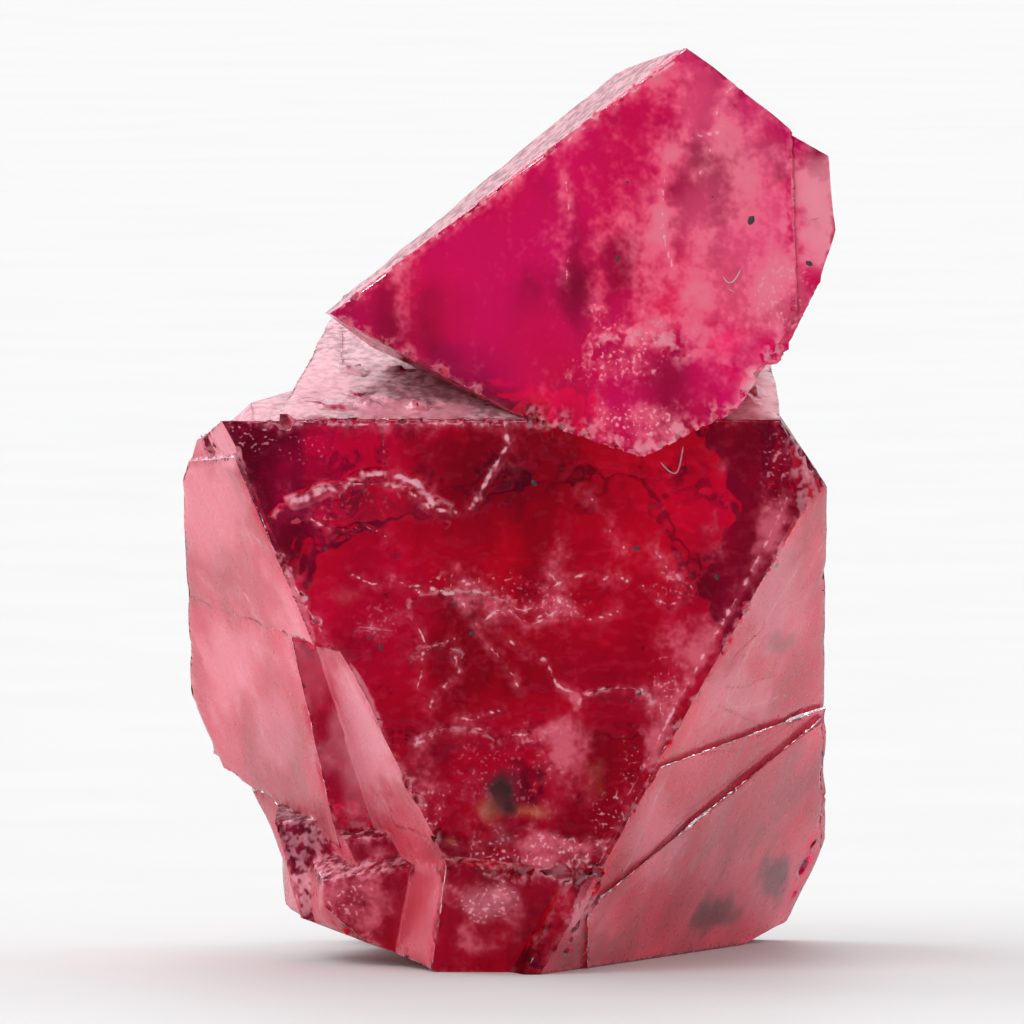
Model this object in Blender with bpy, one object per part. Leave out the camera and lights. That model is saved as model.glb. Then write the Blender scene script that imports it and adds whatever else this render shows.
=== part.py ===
"""A spinel crystal: octahedra grown together, standing on the flat where they broke from the rock.

The crystal is worked out in its own frame, in millimetres: X to the right, Y into the crystal from its
large front face, Z up along that face. Its lower half is a set of octahedral blocks that share one
orientation, stepped against each other. A second octahedron, turned away from the first, has grown into
the top. Everything becomes one solid, which then leans back a little to stand on its base.
"""
import math
import random

import bmesh
import bpy
from mathutils import Matrix, Vector

NAME = "spinel_crystal"
METRES = 0.001          # metres in a millimetre

# The faces of an octahedron that meet its front face: how much their normals share with it, and across it.
SHARE = 1 / 3
ACROSS = math.sqrt(8) / 3

# Driving dimensions, in millimetres.
FRONT = -3.4            # depth of the large front face of the lower crystal
BACK = 3.45             # depth of its back face
SHOULDER_Z = 7.2        # height of the lower crystal's top edge
BASE_Z = 0.142          # height of the base at mid-depth
UPPER_THICKNESS = 4.6   # the upper crystal, from its front face to its back face
SIDE_STEP = 0.05        # how far the plate on its right is set back
BLOCK = 40.0            # side of the block that each crystal is cut from
LEAN_DEG = 3.0          # how far the crystal leans back on its base

# How the upper crystal is turned: its front face recedes this much towards this direction of the view.
UPPER_TILT_DEG = 20.0
UPPER_TILT_TOWARDS_DEG = 195.0
UPPER_ROLL_DEG = 35.3

# Low growth plates on the large front face: the middle of each one's curved top rim as (x, z), its width,
# how far it reaches down as a share of that, and how far the rim stands proud.
PLATES = (
    ((-1.93, 6.40), 2.5, 0.42, 0.05),
    ((-0.72, 4.99), 1.4, 0.35, 0.03), ((-0.95, 4.27), 0.7, 0.6, 0.02), ((-0.72, 3.18), 1.1, 0.4, 0.03),
    ((1.37, 3.69), 1.0, 0.35, 0.03),
)
# The same on the upper crystal's front face.
UPPER_PLATES = (((1.60, 8.30), 1.3, 0.4, 0.02),)
PLATE_SIDES = 26        # how many straight pieces a plate's rim has
PLATE_THICKNESS = 0.2
PLATE_WAVER = 0.06      # how far its rim wavers, as a share of its width

# Where chips have flown off an edge: the two ends of the stretch, how many, and the size of the largest.
CHIPPED = (
    ((-4.15, -2.4, 6.75), (-2.9, -3.35, 7.25), 13, 0.24),
    ((3.5, -3.3, 7.15), (3.95, -3.1, 6.5), 7, 0.15),
    ((3.28, -3.4, 5.0), (1.62, -3.4, 2.1), 14, 0.12),
    ((-3.12, -3.4, 5.6), (-2.44, -3.4, 4.4), 5, 0.10),
    ((-1.4, -3.4, 2.6), (-0.9, -3.3, 1.7), 5, 0.15),
    ((-0.2, -3.3, 1.35), (1.2, -3.3, 1.30), 10, 0.20),
    ((1.15, -3.2, 1.1), (0.65, -3.0, 0.2), 7, 0.18),
    ((-2.9, -1.2, 0.68), (-1.2, -2.2, 0.15), 6, 0.18),
    ((4.1, 2.6, 2.6), (3.7, 3.4, 0.6), 5, 0.25),
    ((0.1, -3.33, 7.25), (1.65, -3.83, 6.72), 8, 0.14),
    ((1.75, -3.85, 6.72), (2.9, -4.3, 7.28), 7, 0.14),
    ((3.0, -4.35, 7.4), (3.7, -4.72, 8.5), 5, 0.12),
    ((-2.3, -2.6, 8.55), (-0.4, -3.16, 7.5), 6, 0.12),
    ((-2.2, -2.65, 8.71), (2.0, -4.45, 11.84), 12, 0.09),
    ((-3.2, -3.4, 7.18), (0.0, -3.4, 7.18), 12, 0.09),
    ((-2.4, 3.2, 6.5), (2.4, 3.2, 6.5), 6, 0.35),
)
# Rows of low lumps on the shoulder under the upper crystal: first and last (x, z), how many, largest radius.
LUMPED = (
    ((-2.6, 7.45), (-0.5, 7.4), 9, 0.30),
    ((-2.4, 7.9), (-1.5, 8.0), 4, 0.30),
    ((2.9, 7.4), (3.2, 7.5), 2, 0.22),
)


def octahedron(roll_deg=0.0, tilt_deg=0.0, towards_deg=0.0):
    """The outward normals of an octahedron's faces, by name. "up" faces the roll angle plus 90 degrees."""
    towards = math.radians(towards_deg)
    turn = Matrix.Rotation(math.radians(tilt_deg), 3, Vector((-math.sin(towards), 0, math.cos(towards))))
    normals = {"front": Vector((0, -1, 0))}
    for name, angle_deg in (("up", 90), ("left", 210), ("right", 330)):
        a = math.radians(angle_deg + roll_deg)
        normals[name] = Vector((ACROSS * math.cos(a), -SHARE, ACROSS * math.sin(a)))
    for name in list(normals):
        normals[name] = turn @ normals[name]
        normals["behind_" + name] = -normals[name]
    return normals


def helper(name, bm):
    """A hidden object with the bmesh's shape, to be joined to the crystal or taken out of it."""
    mesh = bpy.data.meshes.new(name)
    bm.to_mesh(mesh)
    bm.free()
    obj = bpy.data.objects.new(name, mesh)
    obj.hide_render = True
    obj.display_type = "WIRE"
    return obj


def cut_block(name, planes):
    """A convex crystal: a block with one flat cut for each plane, given as (normal, point on it)."""
    bm = bmesh.new()
    bmesh.ops.create_cube(bm, size=BLOCK)
    for normal, point in planes:
        cut = bmesh.ops.bisect_plane(
            bm,
            geom=bm.verts[:] + bm.edges[:] + bm.faces[:],
            dist=1e-5,
            plane_co=point,
            plane_no=Vector(normal).normalized(),
            clear_outer=True,
        )
        rim = [e for e in cut["geom_cut"] if isinstance(e, bmesh.types.BMEdge)]
        if rim:
            bmesh.ops.edgeloop_fill(bm, edges=rim)
        else:
            print(f"{name}: the cut at {tuple(point)} takes nothing away")
    bmesh.ops.recalc_face_normals(bm, faces=bm.faces[:])
    return helper(name, bm)


def growth_plane(front, start, end, share):
    """The crystal face along an edge of a front face, for corners taken clockwise."""
    side = front.cross(end - start).normalized()
    return side * math.sqrt(1 - share * share) + front * share, start


def closing_plane(start, end, closing):
    """The plane along an edge, for corners taken clockwise, which closes in by a share of its depth."""
    edge = end - start
    outward = Vector((0, -1, 0)).cross(edge).normalized()
    recede = Vector((0, 1, 0)) - outward * closing
    return edge.cross(recede).normalized(), start


def inward(plane, distance):
    """A plane moved into the crystal."""
    normal, point = plane
    return normal, Vector(point) - Vector(normal).normalized() * distance


def underside():
    """A block whose lower faces are the base and the three slopes beside it: the crystal keeps inside it."""
    lean = math.radians(LEAN_DEG)
    return cut_block("underside", [
        ((0, math.sin(lean), -math.cos(lean)), (0, 0, BASE_Z)),
        ((-0.295, 0.05, -0.95), (-2.9, -0.9, 0.70)),
        ((0.37, 0.05, -0.92), (3.1, 2.7, 0.30)),
        ((0.91, 0.05, -0.40), (3.66, 3.5, 0.54)),
    ])


def lower_blocks():
    """The stepped blocks of the lower crystal, which share one orientation."""
    n = octahedron()
    front = (n["front"], (0, FRONT, 0))
    just_behind_front = (n["front"], (0, FRONT + 0.02, 0))
    right_behind = ((0.8165, 0.30, 0.4243), (4.12, -2.95, 6.27))
    left_behind = ((-0.86, 0.40, 0.36), (-4.74, -2.1, 6.44))
    outer_left_face = ((-0.872, -0.333, -0.357), (-2.69, -2.36, 3.554))
    left_corner_front = ((-0.75, -0.25, 0.61), (-3.68, FRONT, 6.64))
    left_corner_behind = ((-0.50, 0.35, 0.79), (-4.05, -2.0, 6.95))

    root_top = ((-0.2, -0.345, 1), (-2.5, -1.0, 1.95))

    main = cut_block("main_block", [
        front,
        (n["behind_front"], (0, BACK, 0)),
        ((-0.839, -0.333, -0.429), (-1.574, FRONT, 2.872)),
        (n["right"], (4.08, -3.1, 6.27)),
        right_behind,
        (n["up"], (0, FRONT, SHOULDER_Z - 0.02)),
        ((-0.10, 0.18, 0.98), (0, -2.6, 7.42)),
        ((0.63, -0.75, 0.10), (3.64, FRONT, 6.8)),
        ((0.80, -0.10, 0.58), (3.48, FRONT, 7.18)),
        inward(left_behind, 0.06),
        inward(left_corner_behind, 0.06),
        (n["behind_up"], (-4.1, 2.6, 2.75)),
        ((-0.1, -0.45, -0.9), (0, FRONT, 1.42)),
    ])
    upper_left = cut_block("upper_left_plate", [
        front,
        (n["behind_front"], (0, 2.0, 0)),
        ((-0.869, -0.333, -0.365), (-3.22, FRONT, 5.784)),
        inward(left_behind, 0.03),
        (n["up"], (0, FRONT, SHOULDER_Z - 0.04)),
        ((-0.10, 0.18, 0.98), (0, -2.6, 7.40)),
        left_corner_front,
        inward(left_corner_behind, 0.03),
        ((-0.15, 0.1, -0.98), (-2.8, FRONT, 4.27)),
        ((1, 0, 0), (0, 0, 0)),
    ])
    neck = cut_block("neck", [
        (n["up"], (0, FRONT, SHOULDER_Z)),
        just_behind_front,
        ((-0.95, 0.12, 0.153), (-2.96, -2.78, 7.42)),
        ((1, 0.05, 0), (3.46, -2.0, 7.4)),
        (n["behind_right"], (-2.45, 1.2, 8.5)),
        (n["behind_left"], (3.48, -0.6, 8.0)),
        ((0, 0.577, 0.816), (0, 1.6, 8.98)),
        (n["behind_front"], (0, BACK - 0.25, 0)),
        ((0, -0.25, -0.97), (0, FRONT, 6.95)),
    ])
    outer_left = cut_block("outer_left_block", [
        (n["front"], (0, FRONT + 0.1, 0)),
        ((0, -0.9, -0.436), (-2.68, -2.34, 3.554)),
        (n["behind_front"], (0, BACK - 0.5, 0)),
        outer_left_face,
        left_behind,
        ((-0.88, 0.1, -0.4), (-4.16, 0.6, 3.2)),
        (n["behind_up"], (-3.9, 2.2, 2.85)),
        inward(left_corner_front, 0.03),
        left_corner_behind,
        (n["up"], (0, FRONT, SHOULDER_Z - 0.2)),
        ((1, 0, 0), (0, 0, 0)),
    ])
    right_block = cut_block("right_block", [
        just_behind_front,
        (n["behind_front"], (0, BACK + 0.3, 0)),
        (n["right"], (4.14, -3.1, 6.27)),
        right_behind,
        ((-0.86, -0.33, 0.38), (0.9, FRONT, 1.6)),
        ((-0.33, 0, 0.94), (2.36, FRONT, 2.81)),
    ])
    right_foot = cut_block("right_foot", [
        (n["front"], (0, FRONT + 0.12, 0)),
        (n["behind_front"], (0, BACK + 0.1, 0)),
        (n["right"], (4.20, -3.1, 6.27)),
        ((0.8165, 0.32, 0.4243), (4.12, -2.95, 6.27)),
        ((-0.62, 0, 0.78), (1.75, FRONT, 1.42)),
        ((-1, 0, 0), (1.0, 0, 0)),
    ])
    foot = cut_block("foot", [
        (n["front"], (0, -2.2, 0)),
        (n["behind_front"], (0, BACK - 0.1, 0)),
        ((-0.5, -0.85, 0), (-1.9, -1.4, 1.0)),
        (n["right"], (4.05, -3.1, 6.2)),
        ((1, 0, 0), (2.5, 0, 0)),
        ((-0.93, 0.2, -0.3), (-2.85, 0.6, 1.9)),
        ((-0.6, 0.6, -0.4), (-2.7, 2.0, 1.4)),
        root_top,
    ])
    left_root = cut_block("left_root", [
        ((-0.35, -0.92, -0.15), (-2.05, -1.7, 1.4)),
        ((-0.05, 1, -0.08), (-3.2, 0.85, 1.8)),
        (outer_left_face[0], Vector(outer_left_face[1]) + Vector((0.02, 0, 0))),
        ((1, 0, 0), (0.5, 0, 0)),
        inward(root_top, 0.05),
    ])
    lower_left = cut_block("lower_left_lobe", [
        ((-0.35, -0.90, -0.3), (-2.05, -1.85, 1.0)),
        ((-0.25, 0.95, -0.2), (-2.7, 1.0, 1.3)),
        ((-0.98, -0.2, -0.05), (-2.86, 0.2, 1.1)),
        ((-0.35, -0.4, 0.85), (-2.8, -0.9, 1.42)),
        ((-0.65, -0.35, -0.68), (-2.90, -0.4, 0.62)),
        ((1, 0, 0), (0.5, 0, 0)),
    ])
    nose = cut_block("nose", [
        ((-0.05, -0.96, -0.28), (0, FRONT + 0.12, 1.30)),
        ((0, 1, 0), (0, 0.5, 0)),
        ((-0.91, -0.41, 0), (-0.98, -3.0, 1.2)),
        (n["right"], (4.06, -3.1, 6.27)),
        ((0, -0.35, 0.93), (0, FRONT, 1.40)),
    ])
    return [main, upper_left, neck, outer_left, right_block, right_foot, foot, left_root, lower_left, nose]


class UpperFace:
    """The upper crystal's front face, and places on it by where they lie across and up."""

    def __init__(self):
        self.normals = octahedron(UPPER_ROLL_DEG, UPPER_TILT_DEG, UPPER_TILT_TOWARDS_DEG)
        self.front = self.normals["front"]
        self.foot = Vector((0.45, FRONT - 0.05, SHOULDER_Z))

    def point(self, x, z, depth=0.0):
        f = self.front
        y = self.foot.y + depth - (f.x * (x - self.foot.x) + f.z * (z - self.foot.z)) / f.y
        return Vector((x, y, z))


def upper_blocks():
    """The octahedron turned away from the lower one, whose foot hangs over the lower front face."""
    face = UpperFace()
    n = face.normals
    f = face.front
    left = face.point(-2.37, 8.58)
    top = face.point(2.28, 12.05)
    right_top = face.point(3.64, 10.98)
    right_low = face.point(3.72, 8.55)
    low_right = face.point(2.94, 7.31)
    lip = face.point(1.70, 6.69)
    low_left = face.point(0.05, 7.26)
    upper = cut_block("upper_crystal", [
        (f, face.foot),
        growth_plane(f, left, top, SHARE),
        closing_plane(top, right_top, 0.10),
        closing_plane(right_top, right_low, 0.12),
        closing_plane(right_low, low_right, 0.10),
        closing_plane(low_right, lip, 0.2),
        closing_plane(lip, low_left, 0.2),
        growth_plane(f, low_left, left, SHARE),
        ((-0.42, 0.66, 0.62), face.point(-0.1, 10.52, 1.0)),
        ((-0.28, 0.03, 0.96), top),
        (n["behind_front"], top - f * UPPER_THICKNESS),
    ])
    side_top = face.point(3.30, 11.12, SIDE_STEP)
    side_corner = face.point(4.13, 10.62, SIDE_STEP)
    side_right = face.point(4.22, 9.65, SIDE_STEP)
    side_low = face.point(4.05, 9.05, SIDE_STEP)
    side_foot = face.point(3.50, 7.95, SIDE_STEP)
    side = cut_block("upper_side", [
        (f, side_top),
        closing_plane(side_top, side_corner, 0.15),
        closing_plane(side_corner, side_right, 0.10),
        closing_plane(side_right, side_low, 0.15),
        closing_plane(side_low, side_foot, 0.10),
        ((-1, 0, 0), (2.7, 0, 0)),
        ((0, 0, -1), (0, 0, 7.9)),
        (-f, side_top - f * 2.1),
    ])
    return [upper, side]


def growth_plate(place, front, width, reach, height, rng):
    """A low plate with a wavering curved rim. It stands proud along its top and sinks into the face below."""
    bm = bmesh.new()
    bmesh.ops.create_cone(
        bm, cap_ends=True, segments=PLATE_SIDES, radius1=0.5, radius2=0.47, depth=PLATE_THICKNESS
    )
    corners = sorted(bm.verts, key=lambda v: math.atan2(v.co.y, v.co.x))
    for i in range(0, len(corners), 2):
        waver = 1 + rng.uniform(-PLATE_WAVER, PLATE_WAVER)
        for v in corners[i:i + 2]:
            v.co.x *= waver
            v.co.y *= waver
    bm.transform(Matrix.Diagonal((width, width * reach, 1, 1)))
    top = max(v.co.y for v in bm.verts)
    bmesh.ops.translate(bm, verts=bm.verts[:], vec=(0, -top, -PLATE_THICKNESS / 2))
    bm.transform(Matrix.Rotation(math.atan2(height, width * reach / 2), 4, "X"))
    bm.transform(Matrix.Translation((0, 0, height)))
    across = Vector((0, 0, 1)).cross(front).normalized()
    turn = Matrix((across, front.cross(across), front)).transposed().to_4x4()
    bm.transform(Matrix.Translation(place) @ turn)
    return helper("growth_plate", bm)


def growth_plates(rng):
    """The low plates on the two front faces."""
    front = Vector((0, -1, 0))
    face = UpperFace()
    bodies = [growth_plate(Vector((x, FRONT, z)), front, *sizes, rng) for (x, z), *sizes in PLATES]
    bodies += [growth_plate(face.point(x, z), face.front, *sizes, rng) for (x, z), *sizes in UPPER_PLATES]
    return bodies


def stone(name, rng, radius, place):
    """A small convex body with many uneven faces, flattened and turned at random."""
    bm = bmesh.new()
    bmesh.ops.create_icosphere(bm, subdivisions=1, radius=radius)
    for v in bm.verts:
        v.co *= rng.uniform(0.82, 1.12)
    flat = Matrix.Diagonal((1, rng.uniform(0.6, 1.3), rng.uniform(0.5, 0.9), 1))
    turn = Matrix.Rotation(rng.uniform(0, math.tau), 4, Vector([rng.uniform(-1, 1) for _ in range(3)]))
    bm.transform(Matrix.Translation(place) @ turn @ flat)
    return helper(name, bm)


def chips(rng):
    """What has flown off the edges, to be taken out of the crystal."""
    bodies = []
    for start, end, count, largest in CHIPPED:
        for i in range(count):
            place = Vector(start).lerp(Vector(end), (i + rng.uniform(0.1, 0.9)) / count)
            place += Vector([rng.uniform(-0.25, 0.25) * largest for _ in range(3)])
            bodies.append(stone("chip", rng, largest * rng.uniform(0.45, 1.0), place))
    return bodies


def lumps(rng):
    """The low lumps on the shoulder under the upper crystal."""
    up = octahedron()["up"]
    bodies = []
    for (x0, z0), (x1, z1), count, largest in LUMPED:
        for i in range(count):
            along = (i + 0.5) / count
            x = x0 + (x1 - x0) * along + rng.uniform(-0.1, 0.1)
            z = z0 + (z1 - z0) * along + rng.uniform(-0.12, 0.12)
            y = FRONT + (z - SHOULDER_Z) * ACROSS / SHARE
            radius = largest * rng.uniform(0.7, 1.1)
            bodies.append(stone("lump", rng, radius, Vector((x, y, z)) - up * radius * 0.55))
    return bodies


def gather(name, objects):
    """A collection of helpers, beside the object's own."""
    group = bpy.data.collections.new(name)
    bpy.context.scene.collection.children.link(group)
    for obj in objects:
        group.objects.link(obj)
    return group


def grown_together(first, blocks, raised, chipped):
    """The mesh of one body: all blocks united, kept above the underside, with the chips taken out."""
    body = bpy.data.objects.new("growing", first.data)
    bpy.context.scene.collection.objects.link(body)
    for name, objects, operation in (
        ("blocks", blocks, "UNION"),
        ("underside", [underside()], "INTERSECT"),
        ("raised", raised, "UNION"),
        ("chipped_off", chipped, "DIFFERENCE"),
    ):
        modifier = body.modifiers.new(name, "BOOLEAN")
        modifier.operation = operation
        modifier.operand_type = "COLLECTION"
        modifier.collection = gather(name, objects)
        modifier.solver = "EXACT"
    graph = bpy.context.evaluated_depsgraph_get()
    mesh = bpy.data.meshes.new_from_object(body.evaluated_get(graph))
    bpy.data.objects.remove(body)
    return mesh


def cleaned(mesh):
    """Keeps the largest closed body of the mesh, and splits its many-sided faces into triangles."""
    bm = bmesh.new()
    bm.from_mesh(mesh)
    islands = []
    left = set(bm.verts)
    while left:
        island = {left.pop()}
        frontier = list(island)
        while frontier:
            for edge in frontier.pop().link_edges:
                for v in edge.verts:
                    if v in left:
                        left.remove(v)
                        island.add(v)
                        frontier.append(v)
        islands.append(island)
    largest = max(islands, key=len)
    bmesh.ops.delete(bm, geom=[v for v in bm.verts if v not in largest], context="VERTS")
    bmesh.ops.triangulate(bm, faces=[f for f in bm.faces if len(f.verts) > 4])
    bm.to_mesh(mesh)
    bm.free()


def stand(mesh):
    """Leans the crystal back, in metres, with the origin under the middle of its bounds, on the base."""
    mesh.transform(Matrix.Rotation(-math.radians(LEAN_DEG), 4, "X") @ Matrix.Scale(METRES, 4))
    low = Vector([min(v.co[i] for v in mesh.vertices) for i in range(3)])
    high = Vector([max(v.co[i] for v in mesh.vertices) for i in range(3)])
    middle = (low + high) / 2
    mesh.transform(Matrix.Translation((-middle.x, -middle.y, -low.z)))


def red_spinel():
    """Clear red, with the gloss of a growth face."""
    material = bpy.data.materials.new("red_spinel")
    material.use_nodes = True
    shader = material.node_tree.nodes["Principled BSDF"]
    shader.inputs["Base Color"].default_value = (0.72, 0.03, 0.09, 1)
    shader.inputs["Roughness"].default_value = 0.18
    shader.inputs["IOR"].default_value = 1.718
    shader.inputs["Transmission Weight"].default_value = 0.6
    return material


def main():
    for o in list(bpy.data.objects):
        bpy.data.objects.remove(o)
    rng = random.Random(14)
    blocks = lower_blocks() + upper_blocks()
    mesh = grown_together(blocks[0], blocks[1:], growth_plates(rng) + lumps(rng), chips(rng))
    cleaned(mesh)
    stand(mesh)
    mesh.name = NAME
    mesh.materials.append(red_spinel())
    crystal = bpy.data.objects.new(NAME, mesh)
    gather(NAME, [crystal])


main()
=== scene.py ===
"""The looks of a red spinel crystal: octahedra grown together, on a pale floor in soft light.

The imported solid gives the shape. A finely cut copy of it stands in its place, with the growth ridges,
cracks, worn edges, veils and stains worked into its surface. Tiny mineral grains and dust fibres ride on it.
Places on the crystal are millimetres in its own frame: X to the right, Z up along the large front face.
"""
import math
import random

import bmesh
import bpy
from mathutils import Matrix, Vector, kdtree, noise
from mathutils.bvhtree import BVHTree


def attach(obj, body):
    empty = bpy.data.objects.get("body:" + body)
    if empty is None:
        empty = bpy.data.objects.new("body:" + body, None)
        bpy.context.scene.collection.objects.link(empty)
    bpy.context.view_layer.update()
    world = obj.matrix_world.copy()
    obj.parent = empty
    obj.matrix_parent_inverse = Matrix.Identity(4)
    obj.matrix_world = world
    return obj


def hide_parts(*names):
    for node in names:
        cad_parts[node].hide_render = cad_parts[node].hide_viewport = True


CRYSTAL = "spinel_crystal"
METRES = 0.001                      # metres in a millimetre
LEAN_DEG = 3.0                      # the crystal leans back this much on its base
ORIGIN = Vector((0.048, 0.272, -0.142))     # where the crystal's own origin stands, in millimetres

# How finely the surface is cut, in millimetres.
CUT_COARSE = 0.27
CUT_FINE = 0.067                    # along the ridges and cracks
CUT_EDGE = 0.145                    # along the sharp edges
CUT_PER_MARK = 0.7                  # further off, this times the distance from a ridge or crack
CUT_PER_EDGE = 0.9                  # and this times the distance from a sharp edge
CUT_ROUNDS = 11
WELD = 1e-4                         # corners this close are one
FLAT_RAD = 0.01                     # faces this close in direction count as one flat face
SHARP_RAD = math.radians(24)
SHARP_EDGE_LENGTH = 0.25            # a shorter edge belongs to a small chip
SHARP_EDGE_STEP = 0.05
DIRECTIONS = 12                     # the parts of a face's direction are rounded to one over this
GROWN_AREA = 0.9                    # square millimetres that face one way on a grown face
GROWN_COSINE = 0.99                 # a face this near a grown direction is itself grown

# How the relief lies on the surface, in millimetres.
SIGHT_START = 20.0                  # sight lines start this far off
IN_VIEW_DEPTH = 0.12                # a point this near the first face on its sight line is in view
MARK_STEP = 0.02                    # between the points that stand for a ridge or crack
MIRRORED_EVERY = 3                  # every third ridge or crack is there again, mirrored, on the far side
MARK_REACH = 4                      # in widths of the ridge or crack
CRACK_DEPTH = 0.006
VEIL_BY_RIDGE = 0.12                # how far the veil beside a ridge reaches
EDGE_WEAR_WIDTH = 0.07
EDGE_WEAR_DEPTH = 0.03              # here and there along an edge
EDGE_ROUNDING = 0.012               # all along it
BASE_FADE = 0.12                    # the relief fades out this far above the base
PATCH_REACH = 1.6                   # in half widths of the patch
LIP_FROM_Y = -3.46                  # only the upper crystal reaches in front of this
UPPER_FROM_Z = 6.9                  # there it starts this high, and it starts higher further back
UPPER_RISE = 0.35                   # higher by this for each millimetre further back
UPPER_BLEND = 0.9                   # the two crystals' colours mix over this height
# The shoulder's pearly look is a painted sheen.
PEARLY_FROM_Z = 6.2                 # the shoulder turns pearly from here up
PEARLY_BLEND = 0.4                  # and is fully so this much higher

# The view and the light.
IMAGE_WIDTH_MM = 13.42              # what the picture spans at the crystal
VIEW_CENTRE = Vector((0.06, 0.0, 5.872))    # in millimetres above the floor
VIEW_ELEVATION_DEG = 3.0
VIEW_DISTANCE = 0.45                # metres
SENSOR_MM = 36.0
LIGHT_BOUNCES = 3                   # few, for the sake of the render's time
FLOOR_HALF_WIDTH = 3.0              # metres
SKY_COLOUR = (0.97, 0.98, 1.0, 1)
SKY_FRONT = 0.45                    # the sky's strength in front of the crystal, and behind and above it
SKY_BEHIND = 0.72
SKY_AXIS = (0, 0.80, 0.60)          # towards the place behind and above
SKY_FADE = (-0.5, 0.9)              # the cosines off that axis between which the strength changes
# Bright places in the sky: the direction towards each, how wide it is in degrees, and its strength.
SKY_LAMPS = (
    ((-0.55, -0.45, 0.70), 26, 1.8),
    ((0.75, 0.35, 0.55), 22, 1.4),
    ((-0.70, 0.55, 0.45), 24, 3.4),
    ((0.05, 0.75, 0.66), 24, 1.6),
)

# Colours, as linear red, green and blue and a 1. A pair is a darker and a lighter one.
# The clear crystal's darker and lighter colours are a painted shaded and a painted lit copy of it, mixed by
# the light layer, which is partly random tone.
CLEAR_RED = ((0.20, 0.0, 0.004, 1), (1.0, 0.002, 0.03, 1))
CLEAR_MAGENTA = ((0.26, 0.0, 0.03, 1), (1.0, 0.002, 0.17, 1))
FROST_PINK = (0.90, 0.19, 0.27, 1)
# The etched side faces' pale pink is partly their own etched finish and partly a painted reflection of the
# bright room; the darker one is painted shade.
SATIN_AND_SHEEN_PINK = ((0.96, 0.09, 0.15, 1), (0.98, 0.25, 0.31, 1))
SATIN_SHADE = (0.50, 0.08, 0.10, 1)
# The pearly shoulder and corner: a painted reflection of the bright room, mottled.
PAINTED_SHEEN_PINK = ((0.36, 0.15, 0.18, 1), (0.78, 0.42, 0.47, 1))
# Painted light, for places that reflect a darker floor or lie in shade.
PAINTED_LIGHT_PINK = (0.95, 0.34, 0.42, 1)
CRACK_RED = (0.45, 0.02, 0.06, 1)
# Whitish marks: partly pale lines, specks and chipped edges, partly painted glints and edge highlights.
WHITE_AND_GLINT = (0.95, 0.52, 0.59, 1)
OCHRE_STAIN = (0.46, 0.17, 0.06, 1)
DARK_STAIN = (0.02, 0.022, 0.016, 1)
GRAIN_BLACK = ((0.020, 0.014, 0.018, 1), (0.060, 0.045, 0.055, 1))
FIBRE_PINK = ((0.55, 0.30, 0.34, 1), (0.85, 0.68, 0.70, 1))
FLOOR_GREY = ((0.74, 0.73, 0.72, 1), (0.78, 0.77, 0.76, 1))

# The clear crystal's own values.
REFRACTION = 1.718
REFLECTION_TINT = (0.85, 0.08, 0.22, 1)     # keeps the pale room from laying a grey veil on the faces
ABSORPTION_COLOUR = (0.96, 0.02, 0.50, 1)
ABSORPTION_DENSITY = 600.0          # per metre

# The faces with a look of their own: the direction they face in the crystal's frame, and the cosines off it
# between which that look sets in.
# The left, right and ledge faces get a painted sheen and the shoulder and corner a painted pearly sheen; the
# front face is kept free of painted light.
FACES = {
    "left": ((-0.87, -0.35, -0.36), 0.88, 0.95),
    "right": ((0.82, -0.33, -0.47), 0.90, 0.96),
    "ledges": ((-0.48, 0.0, 0.87), 0.955, 0.97),
    "shoulder": ((0.0, -0.30, 0.95), 0.86, 0.95),
    "corner": ((-0.64, -0.20, 0.74), 0.93, 0.98),
    "front": ((0.0, -1.0, 0.0), 0.97, 0.99),
}
# What each vertex of the crystal carries for its material.
LAYERS = ("line", "crack", "edge", "rough", "high", "light", "hue", "veil", "froth", "pale", "ochre", "dark")
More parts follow.
